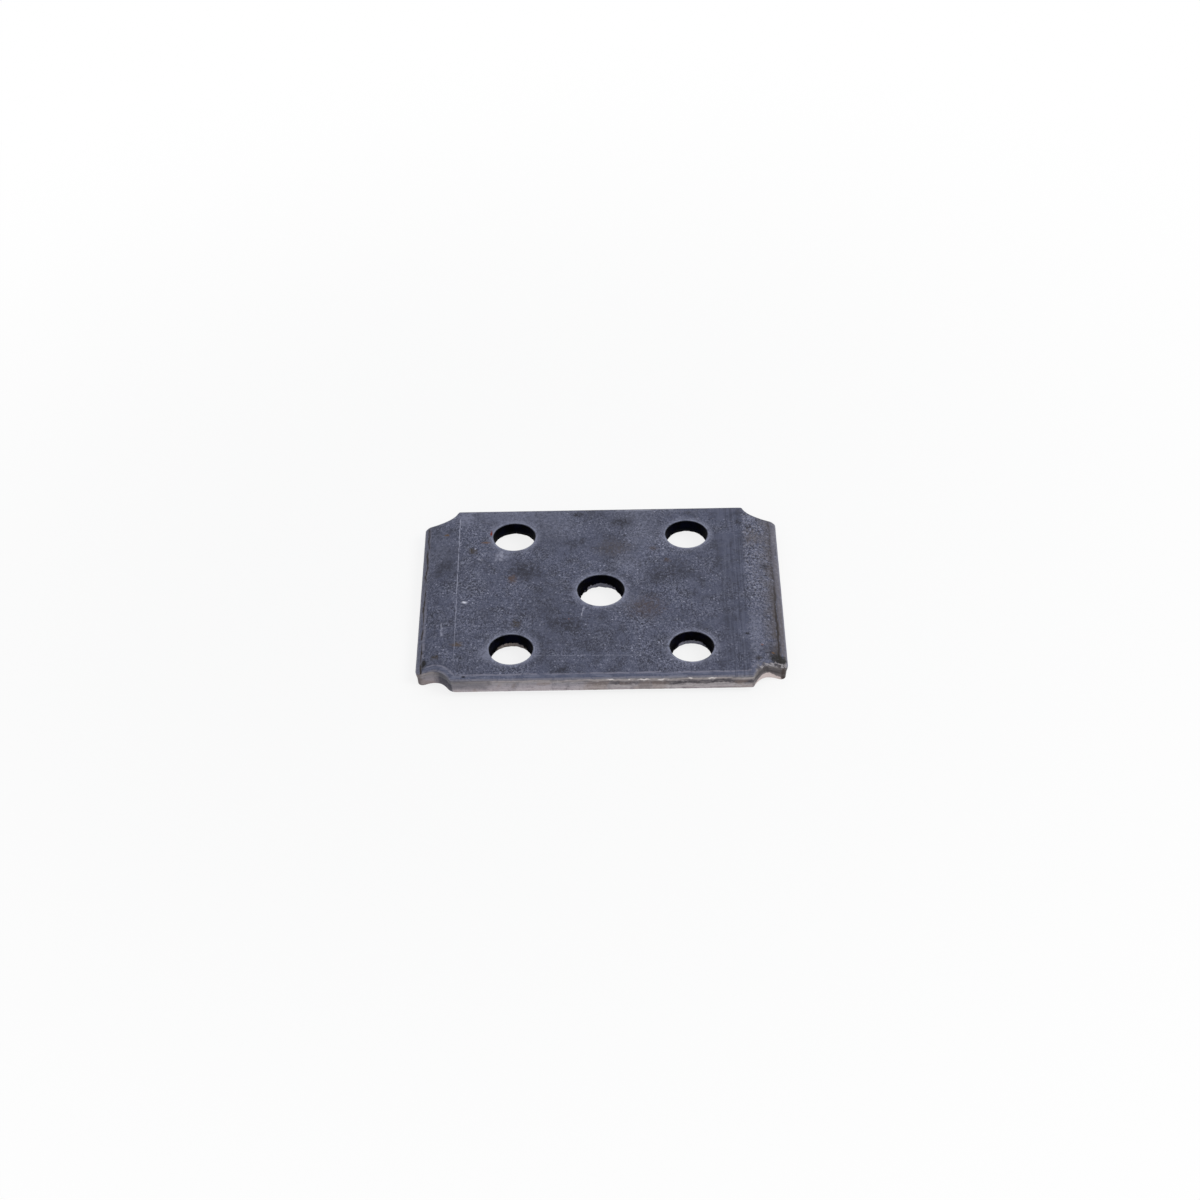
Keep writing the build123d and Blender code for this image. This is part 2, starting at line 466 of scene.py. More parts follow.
# punched holes: centre, then near and far of the left and right pairs
SIDE_BURR = (0.8, 0.45, 0.1, 0.7, 0.45)      # metal dragged in at the foot, left and right
BREAK_OUT = (0.0, 0.0, 0.5, 0.0, 0.4)        # metal torn away at the foot, on the far side
HANG = (0.35, 0.3, 0.0, 0.35, 0.0)           # burr hanging from the foot, on the far side
RAGGED = (0.1, 0.07, 0.07, 0.07, 0.07)       # how unevenly the tear starts
CRUMBS = (0.22, 0.1, 0.1, 0.1, 0.1)          # how rough it is
RIM_POINTS = (132, 120, 120, 120, 120)
rims, rim_ids, feet, foot_ids = [], [], [], []
for k, (cx, cy, r) in enumerate(HOLES):
    plan = circle(cx, cy, r, RIM_POINTS[k])
    top = [Vector((p.x, p.y, TOP)) for p in plan]
    low = [Vector((p.x, p.y, TOP - THICK)) for p in plan]
    inward = [Vector((cx - p.x, cy - p.y, 0.0)).normalized() for p in plan]

    def punched_wall(i, s, along):
        """Smooth land above a torn flare with a ragged edge; back is away from the axis."""
        p = plan[i]
        torn_from = 0.68 + RAGGED[k] * rough(p.x, p.y, 0, 0.7, 31.0 + k, 3)
        torn = max(0.0, (s - torn_from) / (1 - torn_from))
        far = max(0.0, -inward[i].y)
        back = 0.01 * (1 + rough(along, 2 * s, 0, 1.2, 33.0))
        back += torn * (0.1 - SIDE_BURR[k] * inward[i].x ** 2 + BREAK_OUT[k] * far)
        back += CRUMBS[k] * min(1.0, 3 * torn) * rough(along, 4 * s, 0, 0.8, 37.0 + k, 3)
        drop = 0.0
        if s == 1.0:
            drop = 1.6 * CRUMBS[k] * max(0.0, rough(p.x, p.y, 0, 0.5, 39.0 + k, 2) + 0.25)
            drop += HANG[k] * far
        return back, drop

    rings = wall_rings(top, low, inward, lengths(plan), HOLE_LEVELS, punched_wall,
                       PIERCED_SLOT, True)
    rims.append(plan)
    rim_ids.append(rings[0])
    feet.append([Vector((verts[v].x, verts[v].y)) / MM for v in rings[-1]])
    foot_ids.append(rings[-1])

build_skin(1, EDGE, outer_ids, rims, rim_ids, spacing=0.95,
           near_edge=[0.12, 0.3, 0.55, 0.85, 1.2, 1.6, 2.05, 2.6],
           near_rim=[0.06, 0.15, 0.28, 0.45, 0.7, 1.1])
build_skin(-1, outer_foot, outer_foot_ids, feet, foot_ids, spacing=1.6,
           near_edge=[0.3, 0.8, 1.6], near_rim=[0.4, 1.0])

mesh = bpy.data.meshes.new("tie_plate_skin")
mesh.from_pydata([tuple(v) for v in verts], [], faces)
for name, values in attributes.items():
    mesh.attributes.new(name, "FLOAT", "POINT").data.foreach_set("value", values)
mesh.polygons.foreach_set("material_index", face_slots)
mesh.polygons.foreach_set("use_smooth", [True] * len(faces))
mesh.update()
mesh.validate()
plate = bpy.data.objects.new("tie_plate_skin", mesh)
bpy.context.scene.collection.objects.link(plate)

# shading breaks where a wall meets the underside, not where it meets the rolled upper edge
sharp = mesh.attributes.new("sharp_edge", "BOOLEAN", "EDGE")
slots_at = {}
for poly in mesh.polygons:
    for key in poly.edge_keys:
        slots_at.setdefault(key, set()).add(poly.material_index)


def at_foot(edge):
    co = mesh.vertices[edge.vertices[0]].co
    return (len(slots_at[tuple(sorted(edge.vertices))]) > 1
            and co.z < (upper(co.x / MM)[0] - LOWER_HALF) * MM)


sharp.data.foreach_set("value", [at_foot(e) for e in mesh.edges])
print("plate:", len(verts), "vertices,", len(mesh.polygons), "faces")


# ------------------------------ node helpers
def srgb(r, g, b):
    """A shader colour from its display values, 0 to 255."""
    def lin(v):
        v /= 255.0
        return v / 12.92 if v <= 0.04045 else ((v + 0.055) / 1.055) ** 2.4
    return (lin(r), lin(g), lin(b), 1.0)


class Nodes:
    """Short names for the nodes of a tree. A value is a number or another node's output."""

    def __init__(self, tree):
        self.tree = tree

    def node(self, kind, **props):
        n = self.tree.nodes.new(kind)
        for k, v in props.items():
            setattr(n, k, v)
        return n

    def link(self, a, b):
        self.tree.links.new(a, b)

    def put(self, socket, value):
        if isinstance(value, bpy.types.NodeSocket):
            self.link(value, socket)
        else:
            socket.default_value = value

    def math(self, op, a, b=0.0, c=0.0):
        n = self.node("ShaderNodeMath", operation=op)
        self.put(n.inputs[0], a)
        self.put(n.inputs[1], b)
        self.put(n.inputs[2], c)
        return n.outputs[0]

    def plus(self, a, b):
        return self.math("ADD", a, b)

    def minus(self, a, b):
        return self.math("SUBTRACT", a, b)

    def absolute(self, a):
        return self.math("ABSOLUTE", a)

    def linear(self, value, gain, offset):
        """Value times gain, plus offset."""
        return self.math("MULTIPLY_ADD", value, gain, offset)

    def mul(self, *values):
        out = values[0]
        for v in values[1:]:
            out = self.math("MULTIPLY", out, v)
        return out

    def step(self, value, low, high, at_low=0.0, at_high=1.0):
        """0 below low, 1 above high, smooth between; low may be the larger."""
        n = self.node("ShaderNodeMapRange", interpolation_type="SMOOTHSTEP")
        self.put(n.inputs["Value"], value)
        n.inputs["From Min"].default_value = low
        n.inputs["From Max"].default_value = high
        n.inputs["To Min"].default_value = at_low
        n.inputs["To Max"].default_value = at_high
        return n.outputs["Result"]

    def span(self, value, start, full, fall, end):
        """1 from full to fall, 0 outside start and end."""
        return self.mul(self.step(value, start, full), self.step(value, end, fall))

    def vector(self, op, a, b, c=(0.0, 0.0, 0.0)):
        n = self.node("ShaderNodeVectorMath", operation=op)
        self.put(n.inputs[0], a)
        self.put(n.inputs[1], b)
        if op == "MULTIPLY_ADD":
            self.put(n.inputs[2], c)
        return n.outputs["Value" if op == "LENGTH" else "Vector"]

    def parts(self, vector):
        n = self.node("ShaderNodeSeparateXYZ")
        self.link(vector, n.inputs[0])
        return n.outputs


class Shader(Nodes):
    """A material whose colour is painted on in turn. Positions are in millimetres."""

    def __init__(self, name):
        self.mat = bpy.data.materials.new(name)
        self.mat.use_nodes = True
        super().__init__(self.mat.node_tree)
        self.bsdf = self.tree.nodes["Principled BSDF"]
        coord = self.node("ShaderNodeTexCoord")
        scale = self.node("ShaderNodeVectorMath", operation="SCALE")
        self.link(coord.outputs["Object"], scale.inputs[0])
        scale.inputs["Scale"].default_value = 1 / MM
        self.p = scale.outputs[0]
        self.x, self.y = self.parts(self.p)[:2]

    def normal(self, kind):
        return self.parts(self.node("ShaderNodeNewGeometry").outputs[kind])

    def attribute(self, name):
        return self.node("ShaderNodeAttribute", attribute_name=name).outputs["Fac"]

    def stretch(self, sx, sy, shift=(0.0, 0.0, 0.0)):
        """The position for a texture drawn out or moved."""
        return self.vector("MULTIPLY_ADD", self.p, (sx, sy, 1.0), shift)

    def noise(self, scale, detail=2.0, rough=0.5, distort=0.0, vector=None, solid=False):
        n = self.node("ShaderNodeTexNoise", noise_dimensions="3D" if solid else "2D")
        self.link(vector or self.p, n.inputs["Vector"])
        n.inputs["Scale"].default_value = scale
        n.inputs["Detail"].default_value = detail
        n.inputs["Roughness"].default_value = rough
        n.inputs["Distortion"].default_value = distort
        return n.outputs["Fac"]

    def spread(self, value, reach):
        """Noise about zero, from -reach/2 to reach/2."""
        return self.linear(value, reach, -0.5 * reach)

    def mix(self, fac, a, b):
        n = self.node("ShaderNodeMix", data_type="RGBA", blend_type="MIX")
        self.put(n.inputs[0], fac)
        self.put(n.inputs[6], a)
        self.put(n.inputs[7], b)
        return n.outputs[2]

    def paint(self, mask, tint):
        """Lays a tint over the colour so far, as far as the mask lets it."""
        self.colour = self.mix(mask, self.colour, srgb(*tint))

    def finished(self, specular, roughness, normal, metallic=0.0):
        """The material, with its painted colour and these."""
        sockets = {"Base Color": self.colour, "Specular IOR Level": specular,
                   "Roughness": roughness, "Normal": normal, "Metallic": metallic}
        for name, value in sockets.items():
            self.put(self.bsdf.inputs[name], value)
        return self.mat

    def hole_distance(self):
        """Distance to the nearest hole's rim."""
        out = None
        ax, ay = self.absolute(self.x), self.absolute(self.y)
        for px, py, r in ((PITCH_X, PITCH_Y, HOLE_R), (0.0, 0.0, CENTRE_R)):
            dx, dy = self.minus(ax, px), self.minus(ay, py)
            d = self.math("SQRT", self.plus(self.mul(dx, dx), self.mul(dy, dy)))
            d = self.minus(d, r)
            out = d if out is None else self.math("MINIMUM", out, d)
        return out

    def blob(self, x, y, rx, ry, wobble, soft=0.9):
        """1 inside a ragged oval, 0 outside."""
        at = self.vector("MULTIPLY_ADD", self.p, (1 / rx, 1 / ry, 0.0), (-x / rx, -y / ry, 0.0))
        d = self.plus(self.vector("LENGTH", at, (0, 0, 0)), wobble)
        return self.step(d, 1.0 + soft * 0.3, 1.0 - soft)

    def line(self, ax, ay, bx, by, width, wobble):
        """1 on the line between two plan points, fading over its width."""
        half = math.hypot(bx - ax, by - ay) / 2
        angle = -math.atan2(by - ay, bx - ax)
        c, k = math.cos(angle), math.sin(angle)
        n = self.node("ShaderNodeMapping")
        self.link(self.p, n.inputs["Vector"])
        n.inputs["Rotation"].default_value = (0.0, 0.0, angle)
        n.inputs["Location"].default_value = (-(c * ax - k * ay), -(k * ax + c * ay), 0.0)
        along, across, _ = self.parts(n.outputs[0])
        side = self.absolute(self.plus(across, wobble))
        ends = self.absolute(self.minus(along, half))
        return self.mul(self.step(side, width, width * 0.25),
                        self.step(ends, half + 0.4, half - 0.8))

    def bump(self, height, distance, strength=1.0, under=None):
        n = self.node("ShaderNodeBump")
        n.inputs["Strength"].default_value = strength
        n.inputs["Distance"].default_value = distance
        self.link(height, n.inputs["Height"])
        if under is not None:
            self.link(under, n.inputs["Normal"])
        return n.outputs[0]


# ------------------------------ mill scale
# marks in plan: place, half widths, tint (0 to 255), strength
SMUDGE, BROWN, OLIVE, RUBBED = (40, 41, 53), (64, 54, 54), (52, 46, 42), (112, 115, 134)
STAINS = (
    (-30.0, 41.0, 22.0, 8.0, RUBBED, 0.35), (-15.0, 33.5, 9.0, 8.0, RUBBED, 0.25),
    (12.0, 38.0, 9.0, 7.0, RUBBED, 0.25), (14.5, 28.0, 7.0, 9.0, RUBBED, 0.22),
    (-55.0, 22.0, 5.0, 13.0, RUBBED, 0.22), (-46.0, 39.0, 3.0, 5.0, RUBBED, 0.7),
    (-33.0, 19.0, 4.0, 3.0, RUBBED, 0.6), (-36.5, -30.5, 4.0, 4.0, RUBBED, 0.6),
    (10.0, 14.0, 7.0, 8.0, RUBBED, 0.2), (9.0, -6.0, 6.0, 5.0, RUBBED, 0.25),
    (50.5, -22.0, 3.0, 13.0, RUBBED, 0.25), (55.5, -30.0, 4.0, 5.0, SMUDGE, 0.35),
    (-25.0, 11.0, 7.0, 6.0, SMUDGE, 0.55), (-18.0, -6.0, 7.0, 8.0, SMUDGE, 0.25),
    (-23.0, -11.5, 9.0, 6.0, SMUDGE, 0.25), (-12.0, -17.0, 7.0, 5.0, SMUDGE, 0.6),
    (26.0, 10.0, 7.0, 6.0, SMUDGE, 0.4), (-36.5, -11.0, 6.0, 4.5, SMUDGE, 0.25),
    (28.5, -12.0, 6.0, 5.0, SMUDGE, 0.2), (42.4, 2.0, 3.5, 4.0, SMUDGE, 0.3),
    (-52.7, 13.8, 3.5, 4.5, SMUDGE, 0.5), (-54.9, 10.5, 2.6, 3.0, SMUDGE, 0.35),
    (-27.4, 12.2, 2.2, 3.0, SMUDGE, 0.5), (-7.9, 40.2, 2.4, 1.6, SMUDGE, 0.8),
    (7.2, 35.6, 5.0, 3.2, SMUDGE, 0.6), (19.8, 7.4, 6.0, 4.5, SMUDGE, 0.5),
    (-12.3, -38.8, 2.6, 1.8, SMUDGE, 0.6), (47.3, 34.7, 1.2, 1.9, SMUDGE, 0.9),
    (50.6, 31.9, 1.3, 1.2, SMUDGE, 0.8), (54.8, 11.6, 1.4, 1.6, SMUDGE, 0.8),
    (-3.0, -24.0, 9.0, 8.0, SMUDGE, 0.25), (15.1, -8.8, 7.0, 6.5, BROWN, 0.45),
    (4.4, 22.0, 7.0, 5.0, (70, 67, 74), 0.5), (-43.3, 21.2, 1.5, 2.0, OLIVE, 0.75),
    (-27.8, -16.4, 2.1, 1.9, OLIVE, 0.75), (-47.0, -25.8, 2.4, 1.3, (78, 66, 58), 0.75),
    (-53.8, -31.6, 1.5, 1.4, OLIVE, 0.7), (-29.6, 6.5, 1.6, 2.6, (78, 64, 62), 0.65),
    (17.9, 21.2, 1.6, 1.2, BROWN, 0.6), (22.3, 15.2, 1.5, 1.2, BROWN, 0.6),
    (51.6, 26.5, 3.0, 5.0, (84, 78, 78), 0.4))
SPOTS = (
    (-37.25, 30.5, 0.42, 1.6, (104, 34, 22), 1.0), (-39.0, 25.7, 1.9, 0.6, (92, 66, 46), 0.8),
    (-57.8, -33.4, 1.1, 3.0, (12, 12, 16), 1.0), (47.6, -22.7, 0.8, 0.7, (12, 12, 20), 1.0),
    (-44.3, -41.4, 0.7, 0.5, (8, 8, 22), 1.0), (50.6, -34.6, 1.6, 1.3, (34, 30, 34), 0.8),
    (-52.3, 30.1, 1.3, 0.7, (88, 66, 40), 0.8), (-10.6, -14.1, 0.35, 0.35, (110, 66, 48), 0.8),
    (52.1, -28.3, 0.6, 0.5, (112, 70, 46), 0.7), (55.6, -31.6, 0.6, 0.5, (120, 84, 44), 0.8))
# scratches: from, to, width, strength
SCRATCHES = (
    (-5.7, -8.2, -6.6, -13.9, 0.4, 0.6), (-33.4, 21.4, -33.8, 15.8, 0.9, 0.5),
    (-34.6, 19.8, -35.6, 15.6, 0.6, 0.4), (-52.5, -14.8, -52.2, -22.0, 0.6, 0.45),
    (-41.5, 17.2, -39.6, 16.4, 0.5, 0.5))


def mill_scale():
    """The rolled skin of the upper and lower faces."""
    s = Shader("mill_scale")
    edge = s.attribute("edge_mm")
    rim = s.hole_distance()
    # the underside has the same finish, its pattern taken from elsewhere
    under = s.math("LESS_THAN", s.normal("True Normal")[2], 0.0)
    s.p = s.vector("MULTIPLY_ADD", under, (173.0, 91.0, 0.0), s.p)

    broad = s.noise(0.045, 3, 0.55)
    patch = s.noise(0.17, 3, 0.6, 0.3)
    s.colour = s.mix(s.step(broad, 0.36, 0.64), srgb(60, 63, 80), srgb(69, 73, 93))
    s.paint(s.mul(s.step(patch, 0.46, 0.7), 0.55), (79, 82, 102))
    s.paint(s.mul(s.step(patch, 0.48, 0.3), 0.7), (45, 47, 60))
    cloud = s.noise(0.34, 3, 0.62, 0.4, s.stretch(1, 0.85, (21, 33, 0)))
    s.paint(s.mul(s.step(cloud, 0.47, 0.33), 0.5), (44, 45, 58))
    s.paint(s.mul(s.step(cloud, 0.54, 0.68), 0.4), (86, 89, 107))

    # fine grain of the scale, its strength changing from place to place
    thick = s.step(s.noise(0.08, 2, 0.6, 0.2, s.stretch(1, 1, (40, 7, 0))), 0.38, 0.62)
    left = s.span(s.x, -52.0, -44.0, -30.0, -18.0)
    right = s.span(s.x, 3.0, 12.0, 22.0, 32.0)
    lip = s.step(s.plus(s.x, s.spread(s.noise(0.5, 1), 3.0)), 48.0, 49.4)
    press = s.span(s.x, 37.0, 41.0, 47.2, 48.6)
    amount = s.plus(s.mul(thick, 0.45), 0.33)
    amount = s.plus(amount, s.mul(s.plus(left, right), 0.22))
    amount = s.plus(amount, s.mul(lip, 0.45))
    amount = s.minus(amount, s.mul(press, 0.22))
    grain = s.noise(1.75, 2.5, 0.68, 0.6, s.stretch(1.0, 0.78))
    pale = s.step(grain, 0.47, 0.68)
    dark_grain = s.step(grain, 0.5, 0.3)
    # short pale dashes where a stretched noise crosses its middle, and single bright specks
    trace = s.absolute(s.minus(s.noise(0.55, 2, 0.5, 1.6, s.stretch(1.0, 0.8)), 0.5))
    here = s.step(s.noise(0.9, 1, 0.5, 0.0, s.stretch(1, 1, (5, 5, 0))), 0.46, 0.58)
    dash = s.mul(s.step(trace, 0.06, 0.015), here)
    cells = s.node("ShaderNodeTexVoronoi", voronoi_dimensions="2D")
    s.link(s.p, cells.inputs["Vector"])
    cells.inputs["Scale"].default_value = 0.8
    pick = s.node("ShaderNodeSeparateColor")
    s.link(cells.outputs["Color"], pick.inputs[0])
    chosen = s.step(pick.outputs[0], 0.93, 0.96)
    speck = s.mul(s.step(cells.outputs["Distance"], 0.3, 0.16), chosen)
    s.paint(s.mul(dark_grain, amount, 0.9), (33, 34, 46))
    s.paint(s.mul(pale, amount, 0.85), (117, 120, 140))
    s.paint(s.mul(dash, amount, 0.75), (128, 131, 149))
    s.paint(s.mul(speck, amount, 0.8), (156, 158, 178))

    # past the right-hand bend the scale has cracked: coarser, paler, browner towards the end
    coarse = s.step(s.noise(0.95, 2.5, 0.65, 0.4, s.stretch(1, 1, (3, 60, 0))), 0.5, 0.64)
    s.paint(s.mul(coarse, lip, s.linear(s.step(s.y, -20.0, 30.0), 0.35, 0.4)),
            (132, 133, 148))
    hollow = s.mul(dark_grain, lip, s.step(s.y, -12.0, 18.0))
    s.paint(s.mul(hollow, 0.68), (50, 46, 48))
    warm = s.mul(s.step(s.x, 51.5, 55.5), s.step(s.noise(0.25, 2, 0.6), 0.3, 0.56))
    s.paint(s.mul(warm, 0.48), (77, 73, 76))

    # rims of the holes: a pale ring burnished by the punch, and a painted highlight along the rim
    ragged = s.plus(rim, s.spread(s.noise(0.55, 3, 0.65), 3.0))
    ring = s.step(ragged, 2.8, 0.9)
    s.paint(s.mul(ring, s.linear(pale, 0.4, 0.3)), (120, 123, 143))
    # painted highlight: the rolled rim made lighter, broken up by noise
    rim_highlight = s.mul(s.step(rim, 1.0, 0.45), s.step(s.noise(0.4, 2), 0.34, 0.54))
    s.paint(s.mul(rim_highlight, 0.55), (136, 140, 160))

    # their far sides and flanks are dark, partly with oil and partly with painted shade
    oil_and_shade = s.mul(s.step(rim, 0.3, 0.12), s.step(s.normal("Normal")[1], 0.12, -0.02))
    s.paint(s.mul(oil_and_shade, 0.9), (10, 11, 18))

    # rolled edge: a paler bluish band, with a thin painted highlight where it starts to roll
    from_edge = s.plus(edge, s.spread(s.noise(0.15, 2), 0.9))
    drawn = s.noise(0.9, 3, 0.6, 0.0, s.stretch(0.16, 1.0))
    near = s.linear(s.step(s.y, 4.0, -16.0), 0.88, 0.12)
    band = s.mul(s.step(from_edge, 2.25, 1.8), near)
    s.paint(s.mul(band, 0.65), (84, 88, 108))
    s.paint(s.mul(band, s.step(drawn, 0.48, 0.64), 0.6), (112, 115, 133))
    # painted highlight: the pale line where the upper skin starts to roll towards the edge
    start = s.mul(s.span(from_edge, 1.6, 2.0, 2.3, 2.75), s.step(drawn, 0.34, 0.5), near)
    start = s.mul(start, s.step(s.noise(0.5, 3, 0.7), 0.22, 0.5), s.step(s.x, 51.5, 49.0))
    s.paint(s.mul(start, 0.85), (120, 120, 136))
    far_line = s.line(5.5, 41.9, 25.5, 41.9, 0.6, 0.0)
    s.paint(s.mul(far_line, s.step(drawn, 0.4, 0.52), 0.7), (136, 138, 152))
    last = s.mul(s.step(edge, 0.75, 0.2), s.step(s.noise(0.8, 3, 0.7), 0.25, 0.5))
    s.paint(s.mul(last, s.linear(near, 0.35, 0.25)), (128, 125, 132))

    # its own marks: smudges, stains, rust
    wob = s.spread(s.noise(0.75, 3, 0.65, 0.3), 1.7)
    broken = s.step(s.noise(0.95, 3, 0.7, 0.0, s.stretch(1, 0.8, (11, 4, 0))), 0.36, 0.6)
    broken = s.linear(broken, 1.2, 0.6)
    for x, y, rx, ry, tint, strength in STAINS:
        mask = s.mul(s.blob(x, y, rx, ry, wob), broken, strength)
        s.paint(s.math("MINIMUM", mask, 1.0), tint)
    for x, y, rx, ry, tint, strength in SPOTS:
        s.paint(s.mul(s.blob(x, y, rx, ry, s.mul(wob, 0.7), 0.7), strength), tint)

    # scribe lines and scratches
    gate = s.step(s.noise(0.6, 3, 0.7, 0.0, s.stretch(1, 0.35)), 0.32, 0.5)
    stray = s.spread(s.noise(0.35, 2), 0.5)
    scribe = s.line(-48.15, 38.8, -47.75, -38.0, 0.24, stray)
    scribe = s.mul(scribe, gate, s.step(s.y, -60.0, 20.0))
    s.paint(s.mul(scribe, 0.75), (154, 156, 174))
    faint = s.line(-33.0, -31.6, 12.0, -32.4, 0.24, stray)
    s.paint(s.mul(faint, gate, 0.4), (140, 143, 160))
    rag = s.spread(s.noise(0.8, 2), 1.8)
    worn_through = s.step(s.noise(1.0, 3, 0.7, 0.0, s.stretch(1, 0.6, (3, 8, 0))), 0.3, 0.55)
    for ax, ay, bx, by, width, strength in SCRATCHES:
        mark = s.line(ax, ay, bx, by, width, s.mul(rag, width))
        s.paint(s.mul(mark, worn_through, strength), (164, 166, 184))
    s.paint(s.line(-46.1, -4.9, -44.4, -5.3, 0.8, s.mul(rag, 0.3)), (206, 208, 222))

    # press marks before the right-hand bend, and the worn, dirty ends
    streaks = s.noise(1.0, 2, 0.5, 0.0, s.stretch(1.5, 0.035))
    zone = s.span(s.x, 38.5, 41.5, 47.6, 49.0)
    s.paint(s.mul(s.step(streaks, 0.52, 0.7), zone, 0.3), (98, 101, 118))
    s.paint(s.mul(s.step(streaks, 0.48, 0.34), zone, 0.45), (46, 48, 62))
    away = s.absolute(s.x)
    run_on = s.noise(0.5, 3, 0.65, 0.3, s.stretch(1.6, 0.22))
    worn = s.mul(s.step(away, 57.7, 58.3), s.step(run_on, 0.3, 0.5))
    s.paint(s.mul(worn, 0.55), (108, 108, 122))
    wander = s.plus(away, s.spread(s.noise(0.16, 3, 0.6, 0.0, s.stretch(0.5, 1.0)), 1.6))
    dirt = s.mul(s.span(wander, 58.2, 58.5, 58.8, 59.1), s.step(run_on, 0.4, 0.5))
    s.paint(s.mul(dirt, s.step(s.x, 30.0, 10.0), 0.95), (38, 31, 27))
    # on the right: brown towards the end, deepest at the front, then a pale strip
    deepest = s.linear(s.step(s.y, 26.0, -26.0), 0.6, 0.3)
    on_right = s.step(s.x, 10.0, 20.0)
    tan = s.mul(s.step(wander, 55.0, 57.6), on_right, s.step(run_on, 0.3, 0.55), deepest)
    s.paint(s.mul(tan, 0.95), (74, 67, 65))
    seam = s.mul(s.span(wander, 57.0, 57.4, 57.8, 58.2), on_right, deepest)
    s.paint(s.mul(seam, s.step(run_on, 0.3, 0.5), 0.95), (32, 27, 26))
    # the broken notch's crumbled skin, soot behind it and a pale crest
    torn = s.mul(s.step(s.plus(edge, s.spread(s.noise(0.7, 3, 0.7), 3.6)), 1.7, 1.0),
                 s.step(s.x, 49.0, 50.4), s.step(s.y, -32.5, -34.5))
    s.paint(s.mul(torn, 0.75), (84, 80, 82))
    soot = s.math("MAXIMUM", s.blob(56.9, -34.2, 3.2, 3.0, s.mul(wob, 0.6), 0.5),
                  s.blob(58.5, -35.3, 1.6, 3.6, s.mul(wob, 0.6), 0.5))
    soot = s.mul(soot, s.minus(1.0, s.mul(pale, 0.45)))
    s.paint(s.mul(soot, 0.95), (20, 19, 18))
    crest = s.mul(torn, s.step(s.noise(0.9, 3, 0.7, 0.0, s.stretch(0.5, 1.0)), 0.46, 0.58))
    s.paint(s.mul(crest, 0.85), (158, 154, 158))
    pale_strip = s.mul(s.step(s.x, 58.2, 58.9), s.step(run_on, 0.3, 0.5))
    pale_strip = s.mul(pale_strip, s.linear(coarse, 0.6, 0.3), s.minus(1.0, soot))
    s.paint(s.mul(pale_strip, 0.7), (124, 122, 132))
    bright = s.mul(s.step(away, 59.5, 59.8), s.step(s.noise(0.7, 3), 0.3, 0.55))
    s.paint(s.mul(bright, 0.6), (128, 130, 146))

    gloss = s.minus(s.linear(grain, 0.25, 0.42), s.mul(ring, 0.08))
    return s.finished(0.15, gloss, s.bump(grain, 0.00007, 0.8, s.bump(patch, 0.00012, 0.6)))


# ------------------------------ sheared outline
# tints down the wall: to the left one smooth grey cut, to the right a bright land, a dark torn
# seam and a paler foot
SMOOTH_CUT = (
    (0.0, (98, 100, 114)), (0.14, (112, 110, 118)), (0.2, (138, 131, 132)),
    (0.34, (142, 138, 142)), (0.55, (146, 142, 150)), (0.75, (164, 157, 164)),
    (1.0, (174, 165, 170)))
TORN_CUT = (
    (0.0, (98, 100, 114)), (0.13, (114, 112, 118)), (0.18, (152, 145, 144)),
    (0.3, (142, 135, 136)), (0.38, (80, 75, 80)), (0.5, (58, 54, 60)), (0.62, (78, 74, 79)),
    (0.7, (158, 152, 154)), (0.88, (170, 163, 166)), (1.0, (156, 147, 150)))
# bright spots on the land: place along the plate, half length
GLINTS = ((35.5, 1.6), (3.0, 1.3), (13.5, 2.6), (19.0, 1.4))


